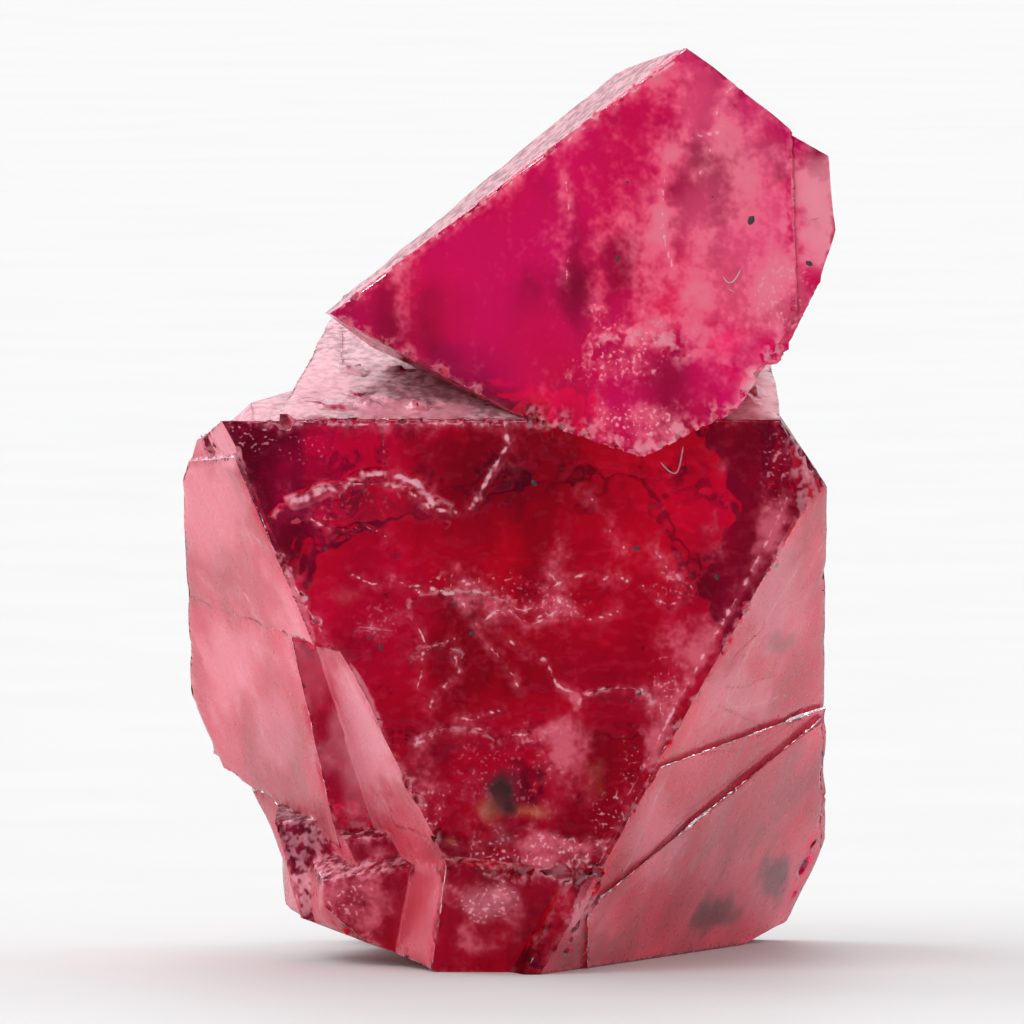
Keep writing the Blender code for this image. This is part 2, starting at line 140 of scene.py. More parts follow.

# Ridges and veins that catch the light, crests partly painted glint: width, height, then their places (x, z)
# on the faces in view.
RIDGES = (
    (0.075, 0.036, ((-2.83, 6.14), (-2.62, 6.20), (-2.44, 6.30), (-2.23, 6.30), (-2.06, 6.41), (-1.76, 6.48),
                    (-1.52, 6.47), (-1.27, 6.37), (-1.10, 6.20), (-0.97, 6.07))),
    (0.038, 0.022, ((-2.06, 6.33), (-1.88, 6.37), (-1.64, 6.36), (-1.40, 6.30), (-1.22, 6.18), (-1.06, 6.05),
                    (-0.71, 5.99))),
    (0.043, 0.020, ((-0.10, 7.16), (-0.05, 6.89), (-0.20, 6.62), (-0.31, 6.44), (-0.41, 6.20),
                    (-0.52, 6.05))),
    (0.030, 0.030, ((-1.34, 5.00), (-1.15, 5.04), (-0.85, 4.93), (-0.64, 4.96), (-0.41, 4.94),
                    (-0.10, 4.96))),
    (0.021, 0.020, ((-1.97, 4.47), (-1.76, 4.45), (-1.56, 4.42))),
    (0.024, 0.020, ((-1.22, 4.10), (-1.04, 4.22), (-0.73, 4.34))),
    (0.024, 0.014, ((-0.76, 4.16), (-0.68, 3.92), (-0.80, 3.78), (-0.97, 3.65), (-1.06, 3.44))),
    (0.019, 0.012, ((-1.15, 4.07), (-1.18, 3.86), (-1.22, 3.71))),
    (0.017, 0.010, ((-1.46, 4.67), (-1.25, 4.55), (-1.13, 4.31))),
    (0.024, 0.016, ((-0.34, 4.58), (-0.22, 4.68), (-0.05, 4.73), (0.08, 4.62), (0.31, 4.54), (0.58, 4.70))),
    (0.027, 0.020, ((-0.01, 4.31), (0.13, 4.20), (0.31, 4.13), (0.46, 4.04), (0.55, 3.83), (0.64, 3.71),
                    (0.81, 3.65))),
    (0.024, 0.028, ((-0.71, 3.29), (-0.45, 3.30), (-0.35, 3.36), (-0.10, 3.41))),
    (0.024, 0.030, ((-1.22, 2.98), (-1.05, 3.06), (-0.87, 3.15), (-0.59, 3.16), (-0.31, 3.17))),
    (0.020, 0.020, ((0.00, 3.08), (0.30, 3.10), (0.46, 3.11))),
    (0.024, 0.030, ((0.93, 3.59), (1.14, 3.66), (1.47, 3.69), (1.77, 3.66))),
    (0.022, 0.012, ((0.46, 5.27), (0.58, 5.09), (0.72, 5.04))),
    (0.022, 0.012, ((0.46, 5.00), (0.76, 5.11), (0.97, 5.18), (1.21, 5.11), (1.32, 5.19), (1.51, 5.09))),
    (0.020, 0.012, ((0.34, 4.62), (0.51, 4.70))),
    (0.022, 0.014, ((1.84, 5.52), (1.95, 5.39), (2.07, 5.19))),
    (0.022, 0.016, ((2.07, 5.17), (2.23, 5.09), (2.35, 5.00), (2.26, 4.85), (2.07, 4.79), (1.89, 4.85),
                    (1.77, 4.97), (1.72, 5.04))),
    (0.025, 0.020, ((0.25, 1.68), (0.37, 1.73), (0.58, 1.70), (0.79, 1.61))),
    (0.017, 0.010, ((-3.49, 5.72), (-3.37, 5.72), (-3.23, 5.57), (-2.99, 5.42))),
    (0.017, 0.008, ((0.71, 10.33), (0.76, 9.78), (0.72, 9.02))),
    (0.017, 0.008, ((2.01, 10.43), (1.97, 9.67), (2.11, 9.15))),
    (0.022, 0.012, ((2.92, 11.57), (2.74, 11.38), (2.68, 11.16), (2.74, 11.00))),
    (0.015, 0.008, ((2.32, 10.85), (2.68, 10.92))),
    (0.015, 0.008, ((2.61, 10.85), (2.54, 10.49), (2.41, 10.36))),
    (0.015, 0.008, ((2.30, 11.00), (2.10, 10.71), (2.01, 10.43))),
    (0.022, 0.004, ((-3.10, 7.14), (-2.20, 7.13), (-1.20, 7.14), (0.00, 7.13))),
    (0.019, 0.004, ((-2.20, 8.67), (-0.80, 9.69), (0.90, 10.94), (2.15, 11.86))),
    (0.022, 0.004, ((3.60, 6.20), (3.20, 5.35), (2.60, 4.30), (2.00, 3.20), (1.50, 2.25))),
    (0.019, 0.004, ((-3.15, 5.60), (-2.40, 4.30), (-1.80, 3.20), (-1.20, 2.20))),
    (0.017, 0.006, ((-0.70, 4.90), (-0.50, 4.60), (-0.35, 4.30), (-0.10, 4.05), (0.10, 3.70))),
    (0.017, 0.006, ((-0.20, 4.90), (0.15, 4.70), (0.60, 4.85), (1.00, 4.60), (1.40, 4.70))),
    (0.015, 0.006, ((-2.60, 5.90), (-2.30, 5.75), (-1.90, 5.80), (-1.60, 5.65))),
    (0.015, 0.006, ((-2.10, 5.20), (-1.80, 5.05), (-1.50, 5.10), (-1.20, 4.95))),
    (0.015, 0.006, ((0.90, 6.30), (1.20, 6.00), (1.30, 5.70), (1.60, 5.40))),
    (0.022, 0.008, ((2.45, 3.45), (2.20, 2.90), (1.90, 2.30), (1.65, 1.70), (1.45, 1.20))),
    (0.020, 0.008, ((3.70, 5.20), (3.20, 4.40), (2.95, 3.90), (2.80, 3.50), (3.10, 3.45), (3.60, 3.60))),
    (0.018, 0.008, ((2.00, 1.30), (2.40, 1.90), (3.00, 2.30), (3.60, 2.90))),
    (0.018, 0.008, ((-4.10, 5.20), (-3.80, 4.90), (-3.50, 4.95), (-3.30, 4.60))),
    (0.018, 0.008, ((-3.60, 3.90), (-3.30, 3.50), (-3.25, 3.10), (-3.00, 2.70))),
)
# Open cracks and the thin edges of growth plates, dark red in the etched side faces: width, then their
# places.
CRACKS = (
    (0.022, ((2.89, 4.10), (3.03, 4.25), (3.24, 4.43), (3.30, 4.58))),
    (0.018, ((2.79, 3.71), (3.10, 3.71), (3.19, 3.79), (3.45, 3.84))),
    (0.026, ((2.70, 3.46), (3.07, 3.28), (3.38, 3.10))),
    (0.020, ((2.36, 2.81), (2.74, 2.86), (3.10, 2.90), (3.61, 3.19), (4.12, 3.72))),
    (0.026, ((1.69, 1.38), (2.07, 1.76), (2.41, 2.15), (2.92, 2.49), (3.38, 2.90))),
    (0.022, ((-0.96, 0.89), (-0.84, 0.80), (-0.66, 0.77), (-0.56, 0.71))),
    (0.018, ((-1.34, 1.68), (-1.29, 1.34))),
    (0.024, ((-1.59, 2.12), (-1.52, 1.89), (-1.34, 1.85), (-1.08, 1.73))),
)
# Patches with soft edges on the faces in view: (x, z, half width, half height, strength).
PATCHES = {
    "haze": (
        (2.22, 4.28, 0.42, 0.31, 0.8), (0.80, 2.70, 0.39, 0.59, 0.9), (-0.60, 2.24, 0.37, 0.29, 0.7),
        (-1.13, 2.57, 0.16, 0.39, 0.6), (-0.58, 5.15, 0.37, 0.16, 0.5), (-2.24, 5.50, 0.26, 0.13, 0.3),
        (-2.18, 4.90, 0.26, 0.16, 0.4), (-1.78, 4.60, 0.26, 0.13, 0.3), (2.61, 5.65, 0.13, 0.29, 0.35),
        (2.74, 6.64, 0.13, 0.10, 0.5), (-0.14, 1.46, 0.26, 0.33, 0.5), (0.77, 0.87, 0.24, 0.33, 0.7),
        (0.93, 8.93, 0.10, 0.46, 0.5), (1.50, 8.14, 0.52, 0.33, 0.8), (2.98, 8.47, 0.24, 0.42, 0.6),
        (3.45, 8.98, 0.22, 0.31, 0.7), (4.05, 9.89, 0.21, 0.42, 0.9), (2.48, 11.03, 0.39, 0.52, 0.35),
        (1.69, 7.10, 0.79, 0.29, 0.7), (3.40, 5.78, 0.26, 0.52, 0.6), (2.74, 9.72, 1.44, 1.57, 0.35),
        (0.84, 3.55, 0.07, 0.12, 1.0), (-0.31, 0.89, 0.18, 0.13, 0.8), (3.00, 9.60, 0.95, 1.50, 0.65),
        (1.90, 3.30, 0.25, 0.60, 0.8), (0.20, 1.50, 1.10, 0.28, 0.9), (-0.30, 0.75, 0.60, 0.40, 0.8),
        (-2.30, 0.90, 0.60, 0.40, 0.8), (-2.20, 1.90, 0.40, 0.30, 0.6), (0.90, 9.80, 0.30, 1.30, 0.5),
        (1.20, 0.60, 0.40, 0.40, 0.8), (-0.20, 4.60, 0.90, 0.25, 0.4),
    ),
    "froth": (
        (0.20, 1.52, 0.90, 0.26, 0.9), (1.28, 2.05, 0.24, 0.24, 1.0), (-1.10, 2.05, 0.20, 0.30, 0.8),
        (1.60, 2.75, 0.16, 0.40, 0.7), (2.00, 3.70, 0.16, 0.40, 0.6), (-3.35, 7.05, 0.45, 0.25, 0.9),
        (3.45, 6.60, 0.20, 0.50, 0.8), (1.50, 8.10, 0.60, 0.35, 0.7), (1.65, 7.15, 0.60, 0.20, 0.9),
        (-0.35, 0.85, 0.30, 0.20, 1.0), (1.00, 0.55, 0.30, 0.30, 0.9), (-2.40, 1.00, 0.40, 0.35, 0.8),
        (3.60, 8.80, 0.40, 0.50, 0.6), (-2.80, 6.90, 0.50, 0.15, 0.6), (0.00, 2.60, 0.70, 0.50, 0.45),
        (-0.60, 5.05, 0.70, 0.12, 0.8), (0.30, 4.80, 0.60, 0.20, 0.5), (2.10, 5.00, 0.30, 0.25, 0.5),
        (-2.20, 6.20, 0.60, 0.20, 0.4), (-1.70, 4.60, 0.40, 0.25, 0.4),
    ),
    # Painted light: paler places on the strip, corner, side faces and shoulder, where they reflect a darker
    # floor or lie in shade.
    "pale": (
        (-3.90, 6.00, 0.40, 0.60, 0.5), (-3.70, 4.00, 0.35, 0.50, 0.6), (3.40, 5.00, 0.40, 0.80, 0.5),
        (2.90, 3.60, 0.40, 0.35, 0.5), (1.90, 1.70, 0.35, 0.50, 0.5), (-3.10, 3.10, 0.25, 0.40, 0.4),
        (-2.60, 4.90, 0.35, 1.20, 0.6), (-1.90, 3.40, 0.35, 1.20, 0.9), (-3.50, 6.95, 0.50, 0.35, 0.9),
        (4.05, 9.90, 0.32, 0.75, 1.0), (3.50, 8.90, 0.35, 0.60, 0.5), (2.90, 9.70, 0.80, 1.30, 0.35),
        (-2.60, 7.60, 0.40, 0.40, 0.5), (-1.40, 7.35, 0.80, 0.12, 1.0), (3.20, 7.45, 0.25, 0.20, 1.0),
        (-0.35, 0.85, 0.25, 0.18, 0.8), (0.85, 0.85, 0.20, 0.35, 0.7), (2.60, 11.20, 0.40, 0.50, 0.3),
    ),
    "ochre": (
        (-0.26, 2.16, 0.14, 0.12, 1.0), (0.25, 2.12, 0.16, 0.07, 0.9), (1.10, 2.50, 0.08, 0.21, 0.5),
        (-0.71, 1.69, 0.18, 0.04, 0.6), (-2.18, 4.90, 0.16, 0.10, 0.4),
    ),
    "dark": (
        (-0.12, 2.38, 0.20, 0.27, 1.0), (-0.05, 2.10, 0.09, 0.09, 1.0), (-0.09, 1.80, 0.12, 0.12, 0.5),
        (-0.33, 1.22, 0.10, 0.10, 0.4), (2.68, 0.73, 0.28, 0.20, 0.8), (3.50, 1.17, 0.22, 0.28, 0.8),
        (3.53, 4.28, 0.16, 0.13, 0.4), (3.10, 1.20, 0.70, 0.60, 0.25),
    ),
    # Painted shade in the clear body.
    "painted_shade": (
        (3.00, 2.10, 0.90, 0.60, 0.6), (-3.20, 2.60, 0.40, 0.50, 0.8), (-2.44, 1.98, 0.37, 0.18, 1.0),
        (-1.85, 1.19, 0.33, 0.79, 0.5), (0.38, 6.18, 0.66, 0.92, 0.8),
        (-0.54, 4.21, 0.59, 0.66, 0.7), (1.17, 2.50, 0.39, 0.52, 0.5), (-0.73, 1.59, 0.33, 0.16, 0.9),
        (1.17, 1.72, 0.52, 0.52, 0.8), (0.97, 0.28, 0.46, 0.16, 1.0), (-1.20, 8.60, 0.70, 0.40, 0.2),
        (1.20, 9.20, 0.40, 0.50, 0.6), (2.20, 7.60, 0.50, 0.50, 0.5),
    ),
    # Painted light in the clear body.
    "bright": (
        (-2.11, 6.68, 0.95, 0.40, 1.0), (-0.31, 5.59, 0.40, 0.45, 0.6), (-2.60, 6.20, 0.60, 0.60, 0.8),
        (2.60, 5.90, 0.90, 0.90, 0.4), (-1.90, 5.60, 0.60, 0.40, 0.5), (-0.30, 9.60, 1.20, 0.60, 0.6),
        (1.20, 10.40, 0.70, 0.60, 0.9), (0.60, 7.90, 0.50, 0.40, 0.5),
        (2.40, 11.40, 0.50, 0.40, 0.8), (3.40, 9.60, 0.50, 0.60, 0.8),
    ),
}
# Dark grains of another mineral in the surface: (x, z, width).
GRAINS = (
    (-0.52, 4.41, 0.066), (-0.72, 4.79, 0.052), (-1.70, 4.22, 0.066), (-1.85, 4.35, 0.039),
    (1.63, 5.52, 0.079), (0.30, 6.37, 0.079), (2.68, 5.14, 0.066), (1.67, 3.62, 0.052), (1.57, 3.53, 0.039),
    (3.12, 9.78, 0.105), (1.38, 9.29, 0.066), (3.87, 9.22, 0.079), (2.62, 10.09, 0.039),
    (1.51, 10.28, 0.039), (-2.41, 5.51, 0.052),
)
GRAIN_SHAPE = (1.25, 0.85, 0.35)    # longer than wide, and flat on the face
GRAIN_UNEVENNESS = 0.15
# Dust fibres that cling to the faces: places (x, z) along each.
FIBRE_THICKNESS = 0.02
FIBRE_SIDES = 6
FIBRE_STEP = 0.03
FIBRE_LIFT = 0.4                    # of its thickness, so that it is sunk a little in the face
FIBRES = (
    ((1.95, 6.64), (2.05, 6.53), (2.15, 6.50), (2.20, 6.62), (2.24, 6.85)),
    ((2.99, 9.15), (2.92, 9.02), (2.83, 8.97), (2.75, 9.06)),
    ((2.83, 8.89), (2.92, 8.84)),
)


def to_world():
    """From the crystal's own frame, in millimetres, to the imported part's, in metres."""
    lean = Matrix.Rotation(-math.radians(LEAN_DEG), 4, "X")
    return Matrix.Scale(METRES, 4) @ Matrix.Translation(ORIGIN) @ lean


def crystal_normal(x, y, z):
    """A direction of the crystal's own frame, in the world."""
    return (to_world().to_3x3() @ Vector((x, y, z))).normalized()


class Surface:
    """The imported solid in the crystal's own frame, for finding places on its faces."""

    def __init__(self, node):
        bm = bmesh.new()
        bm.from_mesh(node.data)
        bm.transform(to_world().inverted())
        bmesh.ops.remove_doubles(bm, verts=bm.verts[:], dist=WELD)
        bmesh.ops.triangulate(bm, faces=[f for f in bm.faces if len(f.verts) > 3])
        self.bm = bm
        self.tree = BVHTree.FromBMesh(bm)

    def at(self, x, z, from_behind=False):
        """The point and normal that is seen at (x, z) from in front, or from behind."""
        side = 1 if from_behind else -1
        start = Vector((x, SIGHT_START * side, z))
        point, normal, _, _ = self.tree.ray_cast(start, Vector((0, -side, 0)))
        return point, normal

    def in_view(self, point, from_behind=False):
        """Whether nothing hides the point from in front, or from behind."""
        seen, _ = self.at(point.x, point.z, from_behind)
        return seen is not None and abs(seen.y - point.y) < IN_VIEW_DEPTH


def along(points, step):
    """Points every so often along a smooth curve through the given ones."""
    found = []
    for i in range(len(points) - 1):
        before = Vector(points[max(i - 1, 0)])
        a, b = Vector(points[i]), Vector(points[i + 1])
        after = Vector(points[min(i + 2, len(points) - 1)])
        bend = (a - before + b - after) / 4
        count = max(1, round((b - a).length / step))
        for k in range(count):
            t = k / count
            found.append(a.lerp(b, t) + bend * (t - t * t))
    found.append(Vector(points[-1]))
    return found


def tree_of(places):
    """A tree that finds the nearest of the places."""
    tree = kdtree.KDTree(len(places))
    for i, place in enumerate(places):
        tree.insert(place, i)
    tree.balance()
    return tree


class Marks:
    """Where the ridges and cracks run over the faces in view and, some of them, mirrored on the far ones."""

    def __init__(self, surface):
        self.places = []
        self.strokes = []
        strokes = RIDGES + tuple((width, 0.0, points) for width, points in CRACKS)
        for i, stroke in enumerate(strokes):
            self.lay(surface, stroke, False)
            if i % MIRRORED_EVERY == 0:
                self.lay(surface, stroke, True)
        self.tree = tree_of(self.places)

    def lay(self, surface, stroke, from_behind):
        """Lays one ridge or crack on the faces seen from in front or, mirrored, from behind."""
        for p in along(stroke[2], MARK_STEP):
            x = -p.x if from_behind else p.x
            place, _ = surface.at(x, p.y, from_behind)
            if place is not None:
                self.places.append(place)
                self.strokes.append(stroke)

    def nearest(self, point):
        """The nearest stroke and how far it is."""
        _, index, distance = self.tree.find(point)
        return self.strokes[index], distance


def finely_cut(surface, marks, edges):
    """Cuts the solid's faces into small triangles, smallest along the ridges, cracks and edges."""
    bm = surface.bm.copy()
    sizes = {}

    def wanted(v):
        if v not in sizes:
            near_mark = max(CUT_FINE, CUT_PER_MARK * marks.nearest(v.co)[1])
            near_edge = max(CUT_EDGE, CUT_PER_EDGE * edges.find(v.co)[2])
            sizes[v] = min(CUT_COARSE, near_mark, near_edge)
        return sizes[v]

    def too_long(e):
        length = e.calc_length()
        if length <= CUT_FINE or length > CUT_COARSE:
            return length > CUT_COARSE
        return length > (wanted(e.verts[0]) + wanted(e.verts[1])) / 2

    for _ in range(CUT_ROUNDS):
        long = [e for e in bm.edges if too_long(e)]
        if not long:
            break
        bmesh.ops.subdivide_edges(bm, edges=long, cuts=1)
        bmesh.ops.triangulate(bm, faces=[f for f in bm.faces if len(f.verts) > 3])
        flat = [e for e in bm.edges if len(e.link_faces) == 2 and e.calc_face_angle(1) < FLAT_RAD]
        bmesh.ops.beautify_fill(bm, faces=bm.faces[:], edges=flat, method="ANGLE")
    return bm


def edge_tree(surface):
    """The sharp convex edges of the solid, longer than the small chips'."""
    places = []
    for e in surface.bm.edges:
        sharp = len(e.link_faces) == 2 and e.calc_face_angle_signed(0) > SHARP_RAD
        if sharp and e.calc_length() > SHARP_EDGE_LENGTH:
            a, b = e.verts[0].co, e.verts[1].co
            count = math.ceil((b - a).length / SHARP_EDGE_STEP)
            places += [a.lerp(b, k / count) for k in range(count + 1)]
    return tree_of(places)


def smooth_step(value):
    """Rises smoothly from 0 to 1 as the value does."""
    value = min(max(value, 0.0), 1.0)
    return value * value * (3 - 2 * value)


def patch_strength(kind, point):
    """How strongly a patch of this kind covers the point, with an uneven edge."""
    waver = 1 + 0.5 * noise.noise(point * 2.3) + 0.35 * noise.noise(point * 6.1)
    strongest = 0.0
    for x, z, half_width, half_height, strength in PATCHES[kind]:
        away = math.hypot((point.x - x) / half_width, (point.z - z) / half_height) * waver
        if away < PATCH_REACH:
            strongest = max(strongest, strength * smooth_step(PATCH_REACH - away))
    return strongest


def patches_over(surface, p):
    """How strongly each kind of patch covers a point. The far side has the same patches, mirrored."""
    in_front = surface.in_view(p)
    if not in_front and not surface.in_view(p, True):
        return {kind: 0.0 for kind in PATCHES}
    seen = p if in_front else Vector((-p.x, p.y, p.z))
    return {kind: patch_strength(kind, seen) for kind in PATCHES}


def mark_rough_faces(bm):
    """Tells the broken faces, which turn every way, from the few directions of the grown ones."""
    areas = {}
    for f in bm.faces:
        key = tuple(round(c * DIRECTIONS) for c in f.normal)
        areas[key] = areas.get(key, 0.0) + f.calc_area()
    grown = [Vector(key).normalized() for key, area in areas.items() if area > GROWN_AREA]
    rough = bm.faces.layers.int.new("rough")
    for f in bm.faces:
        f[rough] = max(f.normal.dot(n) for n in grown) < GROWN_COSINE


def upper_share(p):
    """1 in the upper crystal, 0 in the lower one, and in between where they have grown together."""
    if p.y < LIP_FROM_Y:
        return 1.0
    return smooth_step((p.z - UPPER_FROM_Z - UPPER_RISE * (p.y - LIP_FROM_Y)) / UPPER_BLEND)


def colours_at(p, veiled, painted_shade, bright):
    """How light and how magenta the clear crystal is at a point, and how thick its veils are.

    Each is a level for the two crystals, slow noise and the patches there.
    """
    upper = upper_share(p)
    drift = noise.noise(p * 0.55) + 0.6 * noise.noise(p * 1.4)
    streaks = noise.noise(Vector((p.x * 3.0, p.y * 0.8, p.z * 0.7 - p.x)))
    light = 0.32 + 0.78 * upper + (0.30 + 0.15 * upper) * drift + 0.2 * streaks
    # Painted light where the bright patches lie and painted shade where the shade patches lie.
    light += 0.45 * bright - 0.40 * painted_shade
    hue = 0.25 + 0.50 * upper + 0.12 * abs(p.x - 0.3)
    hue += 0.5 * noise.noise(p * 0.8 + Vector((7, 0, 3))) - 0.3 * painted_shade
    wisps = noise.fractal(p * 1.9, 1.0, 2.0, 3)
    standing = noise.noise(Vector((p.x * 2.4, p.y * 2.4, p.z * 0.5)))
    veil = veiled * (0.8 + 0.8 * wisps) + (0.5 + 0.4 * upper) * max(0.0, standing - 0.05)
    veil += 0.35 * max(0.0, wisps - 0.1) + 0.25 * streaks
    return light, hue, veil


def crystal_piece(surface):
    """The crystal with its ridges, cracks, worn edges and gentle waves, and what its material needs."""
    mark_rough_faces(surface.bm)
    edges = edge_tree(surface)
    marks = Marks(surface)
    bm = finely_cut(surface, marks, edges)
    bm.normal_update()
    rough_face = bm.faces.layers.int["rough"]
    layer = {name: bm.verts.layers.float.new(name) for name in LAYERS}
    rises = []
    for v in bm.verts:
        p = v.co
        (width, height, _), distance = marks.nearest(p)
        near = math.exp(-(distance / width) ** 2) if distance < MARK_REACH * width else 0.0
        broken = smooth_step(0.75 + 0.9 * noise.noise(p * 7.0))
        wear = math.exp(-(edges.find(p)[2] / EDGE_WEAR_WIDTH) ** 2)
        worn = wear * smooth_step(0.3 + 1.3 * noise.noise(p * 1.7))
        covered = patches_over(surface, p)
        light, hue, veil = colours_at(p, covered["haze"], covered["painted_shade"], covered["bright"])
        v[layer["line" if height else "crack"]] = near * broken
        v[layer["edge"]] = wear * smooth_step(0.5 + noise.noise(p * 4.3))
        v[layer["rough"]] = max(f[rough_face] for f in v.link_faces)
        v[layer["high"]] = smooth_step((p.z - PEARLY_FROM_Z) / PEARLY_BLEND)
        v[layer["light"]] = light
        v[layer["hue"]] = hue
        v[layer["veil"]] = veil + (0.5 * math.exp(-(distance / VEIL_BY_RIDGE) ** 2) if height else 0.0)
        for kind in ("froth", "pale", "ochre", "dark"):
            v[layer[kind]] = covered[kind]
        waves = 0.012 * noise.noise(p * 0.9) + 0.006 * noise.noise(p * 2.7)
        mark_rise = height * broken if height else -CRACK_DEPTH
        rises.append(waves - EDGE_WEAR_DEPTH * worn - EDGE_ROUNDING * wear + near * mark_rise)
    raise_surface(bm, rises)
    mesh = bpy.data.meshes.new("crystal")
    bm.to_mesh(mesh)
    bm.free()
    mesh.shade_smooth()
    mesh.set_sharp_from_angle(angle=SHARP_RAD)
    piece = bpy.data.objects.new("crystal", mesh)
    bpy.context.scene.collection.objects.link(piece)
    return piece


def raise_surface(bm, rises):
    """Moves each vertex along its normal, inside the solid's own box and above the floor, into the world."""
    world = to_world()
    low = Vector([min(v.co[i] for v in bm.verts) for i in range(3)])
    high = Vector([max(v.co[i] for v in bm.verts) for i in range(3)])
    for v, rise in zip(bm.verts, rises):
        above_base = (world @ v.co).z / METRES
        v.co += v.normal * rise * smooth_step(above_base / BASE_FADE)
        for i in range(3):
            v.co[i] = min(max(v.co[i], low[i]), high[i])
    bm.transform(world)
    for v in bm.verts:
        v.co.z = max(v.co.z, 0.0)


class Web:
    """The nodes of one material, joined as they are made. A value is a socket or a plain number or colour."""

    def __init__(self, name):
        self.material = bpy.data.materials.new(name)
        self.material.use_nodes = True
        self.tree = self.material.node_tree
        self.shader = self.tree.nodes["Principled BSDF"]
        self.shader.distribution = "GGX"
        self.output = self.tree.nodes["Material Output"]
        self.place = self.add("ShaderNodeTexCoord").outputs["Object"]
        self.normal = self.add("ShaderNodeNewGeometry").outputs["Normal"]

    def add(self, kind, **settings):
        node = self.tree.nodes.new(kind)
        for name, value in settings.items():
            setattr(node, name, value)
        return node

    def feed(self, socket, value):
        if isinstance(value, bpy.types.NodeSocket):
            self.tree.links.new(value, socket)
        else:
            socket.default_value = value

    def math(self, operation, a, b=0.0, clamp=False):
        node = self.add("ShaderNodeMath", operation=operation, use_clamp=clamp)
        self.feed(node.inputs[0], a)
        self.feed(node.inputs[1], b)
        return node.outputs[0]

    def times(self, a, b):
        return self.math("MULTIPLY", a, b)

    def plus(self, a, b):
        return self.math("ADD", a, b)

    def larger(self, a, b):
        return self.math("MAXIMUM", a, b)

    def rest(self, value):
        """What the value leaves of 1."""
        return self.math("SUBTRACT", 1.0, value)

    def with_shares(self, start, *shares):
        """A start value, with a share of each mask added."""
        total = start
        for mask, share in shares:
            total = self.plus(total, self.times(mask, share))
        return total

    def between(self, value, low, high, start=0.0, end=1.0):
        """Rises smoothly from start to end as the value goes from low to high."""
        node = self.add("ShaderNodeMapRange", interpolation_type="SMOOTHSTEP")
        for socket, given in zip(node.inputs, (value, low, high, start, end)):
            self.feed(socket, given)
        return node.outputs[0]

    def blend(self, factor, a, b):
        node = self.add("ShaderNodeMix", data_type="RGBA")
        self.feed(node.inputs["Factor"], factor)
        self.feed(node.inputs[6], a)
        self.feed(node.inputs[7], b)
        return node.outputs[2]

    def noise(self, size_mm, detail=2.0, roughness=0.5, shift=0.0):
        """Noise with features of this size. A shift gives another part of the same noise."""
        mapping = self.add("ShaderNodeMapping")
        self.feed(mapping.inputs["Vector"], self.place)
        mapping.inputs["Location"].default_value = (shift, shift * 0.7, -shift)
        mapping.inputs["Scale"].default_value = [1 / (size_mm * METRES)] * 3
        node = self.add("ShaderNodeTexNoise")
        self.feed(node.inputs["Vector"], mapping.outputs[0])
        node.inputs["Scale"].default_value = 1.0
        node.inputs["Detail"].default_value = detail
        node.inputs["Roughness"].default_value = roughness
        return node.outputs[0]

    def attribute(self, name):
        return self.add("ShaderNodeAttribute", attribute_name=name).outputs["Fac"]

    def facing(self, direction, low, high):
        """1 where the surface faces this direction closely enough."""
        node = self.add("ShaderNodeVectorMath", operation="DOT_PRODUCT")
        self.feed(node.inputs[0], self.normal)
        node.inputs[1].default_value = direction
        return self.between(node.outputs["Value"], low, high)

    def bump(self, value, depth):
        """The normal of a surface that the value raises by up to this depth in metres."""
        bump = self.add("ShaderNodeBump")
        bump.inputs["Distance"].default_value = 1.0
        self.feed(bump.inputs["Height"], self.times(value, depth))
        return bump.outputs["Normal"]

    def finish(self, colour, roughness, transmission, normal):
        self.feed(self.shader.inputs["Base Color"], colour)
        self.feed(self.shader.inputs["Roughness"], roughness)
        self.feed(self.shader.inputs["Transmission Weight"], transmission)
        self.feed(self.shader.inputs["Normal"], normal)


def on_face(web, name):
    """1 on the faces of that name."""
    direction, low, high = FACES[name]
    return web.facing(crystal_normal(*direction), low, high)


def spinel_masks(web):
    """Where each look of the crystal lies."""
    mask = {name: web.attribute(name) for name in LAYERS}
    # The side faces and ledges, picked by the way they face, get a painted sheen; on the ledges it lightens a
    # darker groove.
    ledges = web.times(on_face(web, "ledges"), 0.7)
    satin_and_sheen = web.larger(web.larger(on_face(web, "left"), on_face(web, "right")), ledges)
    # The shoulder and corner, picked by the way they face, get a painted pearly sheen.
    pearly = web.times(web.larger(on_face(web, "shoulder"), on_face(web, "corner")), mask["high"])
    plain = web.rest(web.times(satin_and_sheen, 0.9))
    fine = web.noise(0.12, 1.0, 0.7, shift=8.0)
    grainy = web.noise(0.045, 0.0, shift=3.0)

    frost = web.plus(web.times(fine, 0.55), web.times(mask["veil"], 0.48))
    frost = web.times(web.between(frost, 0.34, 0.95), plain)
    # Whitish specks in the frothy patches: partly tiny inclusions, partly painted glints.
    specks = web.between(web.plus(grainy, web.times(fine, 0.6)), 0.92, 1.08)
    specks = web.times(specks, web.between(mask["froth"], 0.0, 1.0, 0.0, 0.75))
    # Whitish along the worn edges and on the broken faces: partly their chipped surface, partly a painted
    # edge highlight.
    broken = web.larger(web.times(mask["edge"], 0.55), mask["rough"])
    broken = web.times(broken, web.between(fine, 0.38, 0.6))
    # Whitish on the ridge crests: partly pale lines, partly a painted glint.
    crest = web.between(web.plus(mask["line"], web.times(fine, 1.3)), 1.05, 1.65)
    crest = web.times(crest, web.between(mask["line"], 0.0, 0.3))
    crest = web.times(crest, web.rest(web.times(satin_and_sheen, 0.4)))
    white_and_glint = web.times(web.larger(specks, web.times(broken, 0.6)), plain)

    mask["satin_and_sheen"] = satin_and_sheen
    mask["pearly"] = pearly
    mask["fine"] = fine
    mask["frost"] = frost
    mask["white_and_glint"] = web.larger(white_and_glint, crest)
    # The painted light is kept off the front face.
    mask["pale"] = web.times(mask["pale"], web.rest(on_face(web, "front")))
    return mask


